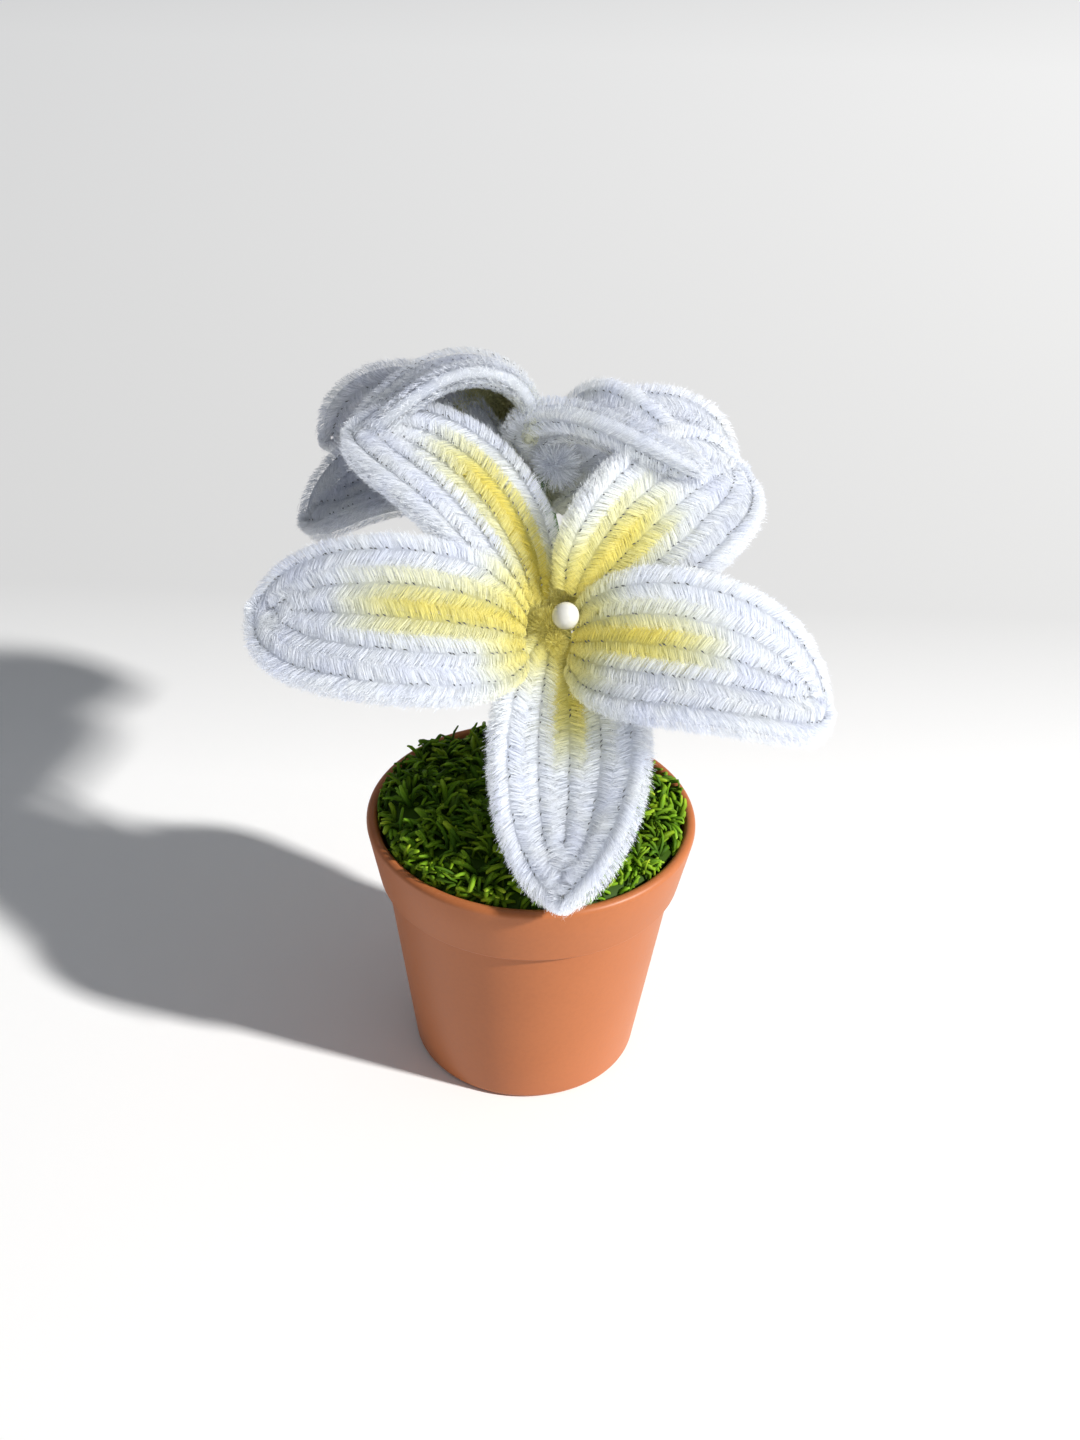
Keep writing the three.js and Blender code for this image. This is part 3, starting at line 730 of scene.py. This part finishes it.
def make_petal(name, shape, bloom, seed, triangles):
    rng = np.random.default_rng(seed)
    path = petal_path(shape, bloom)
    rows = [Row(path, shape, lane, end) for lane, end in LANES]
    soup = Soup()
    total = sum(row.length for row in rows)
    for row in rows:
        core_tube(soup, row, PAINT[name], rng)
        share = row.length / total
        row_pile(soup, row, PAINT[name], rng, int(triangles * (1 - COMBED) * share))
        # a combed fibre has three triangles
        combed_pile(soup, row, PAINT[name], rng, int(triangles * COMBED / 3 * share))
        wire_turns_and_parting_shade(soup, row, rng)
    tip_tuft(soup, rows[0], rows[4], rng)
    for knot in KNOTS.get(name, ()):
        fuzz_ball(soup, knot, rng)
    return declare(soup.build("chenille_" + name, [PILE, WIRE_AND_PARTING_SHADE]), "petal_" + name)


PETALS = []
for i, (name, shape) in enumerate(FRONT.items()):
    PETALS.append(make_petal(name, shape, FRONT_BLOOM, FRONT_SEED + i, FRONT_TRIANGLES))
for i, (name, shape) in enumerate(BACK.items()):
    PETALS.append(make_petal(name, shape, BACK_BLOOM, BACK_SEED + i, BACK_TRIANGLES))


# ---------------------------------------------------------------- pot
POT_HEIGHT, RIM_RADIUS, RIM_WALL = 64.5, 37.5, 2.6
COLLAR_Z, COLLAR_RADIUS = 49.4, 34.8
BODY_TOP, BODY_WALL = 33.3, 2.0
BASE_RADIUS, BASE_ROUND, FLOOR_THICK = 26.35, 1.9, 3.0
BASE_MIDDLE = 18             # a ring half way out on the base
BASE_FLARE = 0.27            # how far the wall has come out above the rounded base edge
WALL_SHARES = (0.25, 0.5, 0.75, 0.97, 0.995)    # rings on the wall, close together below the collar
STEP_ROUND, COLLAR_ROUND = 0.3, 0.55            # rounding under the collar and at its lower edge
COLLAR_SLOPE = ((0.25, 1.6), (1.35, 7.0))       # the collar's face: outwards and up from its edge
INSIDE_RING = 60             # height of a ring inside the rim
POT_SIDES = 144


def inner_radius(z):
    """Radius of the pot's inside at height z."""
    top = BODY_TOP - BODY_WALL
    if z > COLLAR_Z:
        return top + (RIM_RADIUS - RIM_WALL - top) * (z - COLLAR_Z) / (POT_HEIGHT - COLLAR_Z)
    return (BASE_RADIUS - BODY_WALL) + (top - BASE_RADIUS + BODY_WALL) * z / COLLAR_Z


def arc(r0, z0, r, a0, a1, steps):
    """A round stretch of a profile about (r0, z0), from angle a0 to a1 in degrees."""
    points = []
    for i in range(steps + 1):
        a = math.radians(a0 + (a1 - a0) * i / steps)
        points.append((r0 + r * math.cos(a), z0 + r * math.sin(a)))
    return points


def pot_profile():
    """Radius and height from the middle of the base, up the outside, over the lip and down the inside."""
    lip = RIM_WALL / 2
    wall_start = BASE_RADIUS + BASE_FLARE
    points = [(0, 0), (BASE_MIDDLE, 0.0), (BASE_RADIUS - BASE_ROUND - 1.5, 0)]
    points += arc(BASE_RADIUS - BASE_ROUND + 0.25, BASE_ROUND, BASE_ROUND, -90, -8, 8)
    for share in WALL_SHARES:
        points.append((wall_start + (BODY_TOP - wall_start) * share,
                       BASE_ROUND + (COLLAR_Z - BASE_ROUND) * share))
    points += arc(BODY_TOP + STEP_ROUND + 0.05, COLLAR_Z - 0.05, STEP_ROUND, 180, 100, 3)
    points += arc(COLLAR_RADIUS - COLLAR_ROUND, COLLAR_Z + 0.5, COLLAR_ROUND, -85, 0, 5)
    points += [(COLLAR_RADIUS + out, COLLAR_Z + up) for out, up in COLLAR_SLOPE]
    points += arc(RIM_RADIUS - lip, POT_HEIGHT - lip, lip, -6, 180, 12)
    points += [(inner_radius(z), z) for z in (INSIDE_RING, COLLAR_Z, FLOOR_THICK + 1)]
    return points + [(inner_radius(FLOOR_THICK) - 1, FLOOR_THICK), (0, FLOOR_THICK)]


def lathe(name, profile, sides, mat, cad_node):
    """A turned piece about the z axis, from a profile of radius and height in mm."""
    profile = np.array(profile) * MM
    angle = np.arange(sides) / sides * 2 * math.pi
    verts, faces, rings = [], [], []
    for r, z in profile:
        if r < 1e-7:
            rings.append([len(verts)])
            verts.append((0, 0, z))
        else:
            rings.append(list(range(len(verts), len(verts) + sides)))
            verts += [(r * math.cos(a), r * math.sin(a), z) for a in angle]
    for lo, hi in zip(rings, rings[1:]):
        for j in range(sides):
            k = (j + 1) % sides
            a, b = lo[j % len(lo)], lo[k % len(lo)]
            c, d = hi[k % len(hi)], hi[j % len(hi)]
            faces.append([v for i, v in enumerate((a, b, c, d)) if v not in (a, b, c, d)[:i]])
    me = bpy.data.meshes.new(name)
    me.from_pydata(verts, [], faces)
    me.materials.append(mat)
    me.polygons.foreach_set("use_smooth", np.ones(len(faces), bool))
    return declare(link(name, me), cad_node)


lathe("pot_shell", pot_profile(), POT_SIDES, pot_material(), "pot")


# ---------------------------------------------------------------- moss
MOSS_EDGE_Z, MOSS_TOP_Z, MOSS_CLUMPS = 63.0, 70.0, 290
MOSS_SPREAD = 0.8    # radians by which the strands of one tuft fan out
MOSS_LIMIT = 34.7    # mm, the radius inside the rim that the moss keeps to
MOSS_EDGE = inner_radius(MOSS_EDGE_Z) - 0.5
MOSS_SEED = 7
BED_DEPTH, BED_SHADE = 0.8, 0.18     # the bed lies this far (mm) below the mound, and its dark tone, painted shade between the tufts
STRANDS = (8, 12)    # strands of one tuft, the last number left out
STRAND_LENGTH, STRAND_WIDTH, STRAND_CURL = (4.4, 7.6), (0.75, 1.4), (0.8, 3.0)    # mm, mm, radians
STRAND_PROFILE = np.array([0.8, 1.0, 1.1, 1.1, 0.8])    # its width from root to tip
STRAND_SIDES = 4
STRAND_FLAT = 0.62   # its thickness beside its width


def moss_height(r):
    """Height of the moss mound at radius r."""
    edge = inner_radius(MOSS_EDGE_Z) - 0.3
    return MOSS_EDGE_Z + (MOSS_TOP_Z - MOSS_EDGE_Z) * np.sqrt(np.maximum(0, 1 - (r / edge) ** 2))


def strand(soup, rng, base, rise, heading, length, width, curl, paint, shade):
    """One curling lobe of moss: a flattened tube that leans over and ends round."""
    steps = len(STRAND_PROFILE) - 1
    side = unit(np.cross(rise, heading))
    t = np.linspace(0, 1, steps + 1)
    bend = curl * t ** 1.3
    forward = rise * np.cos(bend)[:, None] + heading * np.sin(bend)[:, None]
    forward = forward + side * (rng.normal(0, 0.35) * t)[:, None]
    walked = np.cumsum((forward[1:] + forward[:-1]) / 2, 0)
    centre = base + np.concatenate([[np.zeros(3)], walked]) * length / steps
    away = np.hypot(centre[:, 0], centre[:, 1])
    centre[:, :2] *= np.minimum(1, MOSS_LIMIT / np.maximum(away, 1))[:, None]
    outward = heading * np.cos(bend)[:, None] - rise * np.sin(bend)[:, None]
    w = width / 2 * STRAND_PROFILE
    ring = []
    for angle in np.arange(STRAND_SIDES) * 2 * math.pi / STRAND_SIDES:
        sideways, up = w * math.cos(angle), w * STRAND_FLAT * math.sin(angle)
        ring.append(centre + side * sideways[:, None] - outward * up[:, None])
    tip = centre[-1:] + unit(forward[-1:]) * width * 0.30
    co = np.concatenate([np.stack(ring, 1).reshape(-1, 3), tip])
    last = steps * STRAND_SIDES
    tri = tube_faces(steps + 1, STRAND_SIDES) + [closing_fan(last, STRAND_SIDES, last + STRAND_SIDES)]
    # darker towards the strand's root: painted shade deep in the tuft; the tip a little lighter, painted
    # light
    grade = np.concatenate([np.repeat(shade * (0.15 + 0.85 * t ** 0.9), STRAND_SIDES), [shade * 1.05]])
    soup.add(co, np.concatenate(tri), paint, np.clip(grade + rng.normal(0, 0.02, len(grade)), 0, 1))


def moss_bed(soup, sides=48, rings=9):
    """The dark mound that the tufts grow from; its dark tone is painted shade in the gaps between them."""
    radii = MOSS_EDGE * np.cos(np.linspace(0, math.pi / 2, rings + 1))[:-1]
    angle = np.arange(sides) / sides * 2 * math.pi
    co = []
    for r in radii:
        z = np.full(sides, moss_height(r) - BED_DEPTH)
        co.append(np.stack([r * np.cos(angle), r * np.sin(angle), z], -1))
    co = np.concatenate([*co, [[0, 0, MOSS_TOP_Z - BED_DEPTH]]])
    tri = tube_faces(rings, sides) + [closing_fan((rings - 1) * sides, sides, rings * sides)]
    soup.add(co, np.concatenate(tri), 0.5, BED_SHADE)


def moss_tuft(soup, rng, r, a):
    """A tuft at radius r and angle a: strands that fan out from one base."""
    base = np.array([r * math.cos(a), r * math.sin(a), moss_height(r) - 1.3 + rng.normal(0, 0.6)])
    outward = np.array([math.cos(a), math.sin(a), 0])
    axis = unit(outward * 0.15 * (r / MOSS_EDGE) + [0, 0, 1] + rng.normal(0, 0.30, 3))
    tone, hue = np.clip(rng.normal(0.74, 0.14), 0.35, 1.0), rng.random()
    u = unit(np.cross(axis, rng.normal(0, 1, 3)))
    w = np.cross(axis, u)
    for _ in range(rng.integers(*STRANDS)):
        turn = rng.normal(0, MOSS_SPREAD)
        heading = u * math.cos(turn) + w * math.sin(turn)
        tilt = rng.uniform(0.1, 1.1)
        rise = axis * math.cos(tilt) + heading * math.sin(tilt)
        ahead = heading * math.cos(tilt) - axis * math.sin(tilt)
        foot = base + heading * rng.uniform(-1.2, 1.6)
        length, width, curl = (rng.uniform(*span) for span in (STRAND_LENGTH, STRAND_WIDTH, STRAND_CURL))
        paint = np.clip(hue + rng.normal(0, 0.2), 0, 1)
        shade = np.clip(tone + rng.normal(0, 0.12), 0.15, 1)
        strand(soup, rng, foot, rise, ahead, length, width, curl, paint, shade)


def make_moss():
    rng = np.random.default_rng(MOSS_SEED)
    soup = Soup()
    moss_bed(soup)
    golden = math.pi * (3 - math.sqrt(5))
    for i in range(MOSS_CLUMPS):
        r = (MOSS_EDGE + 0.4) * math.sqrt((i + 0.5) / MOSS_CLUMPS)
        moss_tuft(soup, rng, r, i * golden + rng.normal(0, 0.06))
    declare(soup.build("moss_tufts", [moss_material()]), "moss")


make_moss()


# ---------------------------------------------------------------- pearls
PEARL_RADIUS, PEARL_RINGS, PEARL_SIDES = 3.0, 25, 40
PEARLS = {"pearl_front": (6.0, 5.6, 112.6), "pearl_back": (1.2, 52.0, 129.5)}


def make_pearl(name, centre, look):
    angles = np.linspace(math.pi, 0, PEARL_RINGS)
    profile = [(PEARL_RADIUS * math.sin(a), PEARL_RADIUS * math.cos(a)) for a in angles]
    profile[0], profile[-1] = (0, -PEARL_RADIUS), (0, PEARL_RADIUS)
    ob = lathe(name + "_bead", profile, PEARL_SIDES, look, name)
    ob.data.transform(Matrix.Translation(Vector(centre) * MM))


PEARL = pearl_material()
for name, centre in PEARLS.items():
    make_pearl(name, centre, PEARL)

# ---------------------------------------------------------------- stems and foam keep their CAD shape
TAPE, FOAM = tape_material(), foam_material()
for name, look in (("stem_front", TAPE), ("stem_back", TAPE), ("foam_plug", FOAM)):
    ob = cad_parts[name]
    ob.data.materials.clear()
    ob.data.materials.append(look)

# ---------------------------------------------------------------- floor, light and camera, in metres
FLOOR_SIZE = 12
FADE_NEAR, FADE_FAR = 0.08, 1.08     # the stretch of floor behind the object where its grey, painted shade for the light's falloff, comes and goes

SKY, SKY_STRENGTH = (0.90, 0.94, 1.0, 1), 0.26
KEY_AT, FILL_AT = Vector((3.17, -1.31, 2.22)), Vector((0.0, -1.65, 0.75))
POT_AIM, BLOOM_AIM = (0, 0.02, 0.08), (0, 0.02, 0.12)
WARM, COOL = (1.0, 0.985, 0.96), (0.97, 0.985, 1.0)
NEAR_PETALS = 8                      # petals, in the order of making, that the fill reaches

SENSOR, LENS = 36, 44.5              # mm
CAMERA_TARGET = Vector((0.001244, 0, 0.089162))
CAMERA_ELEVATION, CAMERA_ROLL, CAMERA_DISTANCE = math.radians(32.944), math.radians(2.002), 0.392617


def make_floor():
    bpy.ops.mesh.primitive_plane_add(size=FLOOR_SIZE, location=(0, 0, 0))
    floor = bpy.context.object
    floor.name = "floor"
    floor.data.materials.append(floor_material())


def make_world():
    world = bpy.data.worlds.new("studio")
    bpy.context.scene.world = world
    world.use_nodes = True
    background = world.node_tree.nodes["Background"]
    background.inputs[0].default_value = SKY
    background.inputs[1].default_value = SKY_STRENGTH


def area(name, location, target, size, power, colour, group, objects):
    """A square area light (m, W) that reaches only the given objects, through a named collection."""
    light = bpy.data.lights.new(name, "AREA")
    light.size, light.energy, light.color = size, power, colour
    ob = link(name, light)
    ob.location = location
    ob.rotation_mode = "QUATERNION"
    ob.rotation_quaternion = (Vector(target) - Vector(location)).to_track_quat("-Z", "Y")
    reached = bpy.data.collections.new(group)
    for other in objects:
        reached.objects.link(other)
    ob.light_linking.receiver_collection = reached


def make_lights():
    """The key is crisp for the floor's shadow and softer for the petals, which a fill also reaches."""
    others = [o for o in bpy.context.scene.objects if o.type == "MESH" and o not in PETALS]
    area("key", KEY_AT, POT_AIM, size=0.22, power=248, colour=WARM, group="setting", objects=others)
    area("flower_key", KEY_AT, BLOOM_AIM, size=1.9, power=205, colour=WARM, group="flower", objects=PETALS)
    area("flower_fill", FILL_AT, BLOOM_AIM, size=0.9, power=23, colour=COOL, group="near_petals",
         objects=PETALS[:NEAR_PETALS])


def make_camera():
    data = bpy.data.cameras.new("camera")
    data.sensor_width = SENSOR
    data.lens = LENS
    data.clip_start = 0.01
    cam = link("camera", data)
    level = Vector((1, 0, 0))
    back = Vector((0, -math.cos(CAMERA_ELEVATION), math.sin(CAMERA_ELEVATION)))
    right = level * math.cos(CAMERA_ROLL) + back.cross(level) * math.sin(CAMERA_ROLL)
    pose = Matrix((right, back.cross(right), back)).transposed().to_4x4()
    pose.translation = CAMERA_TARGET + back * CAMERA_DISTANCE
    cam.matrix_world = pose
    bpy.context.scene.camera = cam


make_floor()
make_world()
make_lights()
make_camera()
bpy.context.scene.view_settings.view_transform = "Standard"
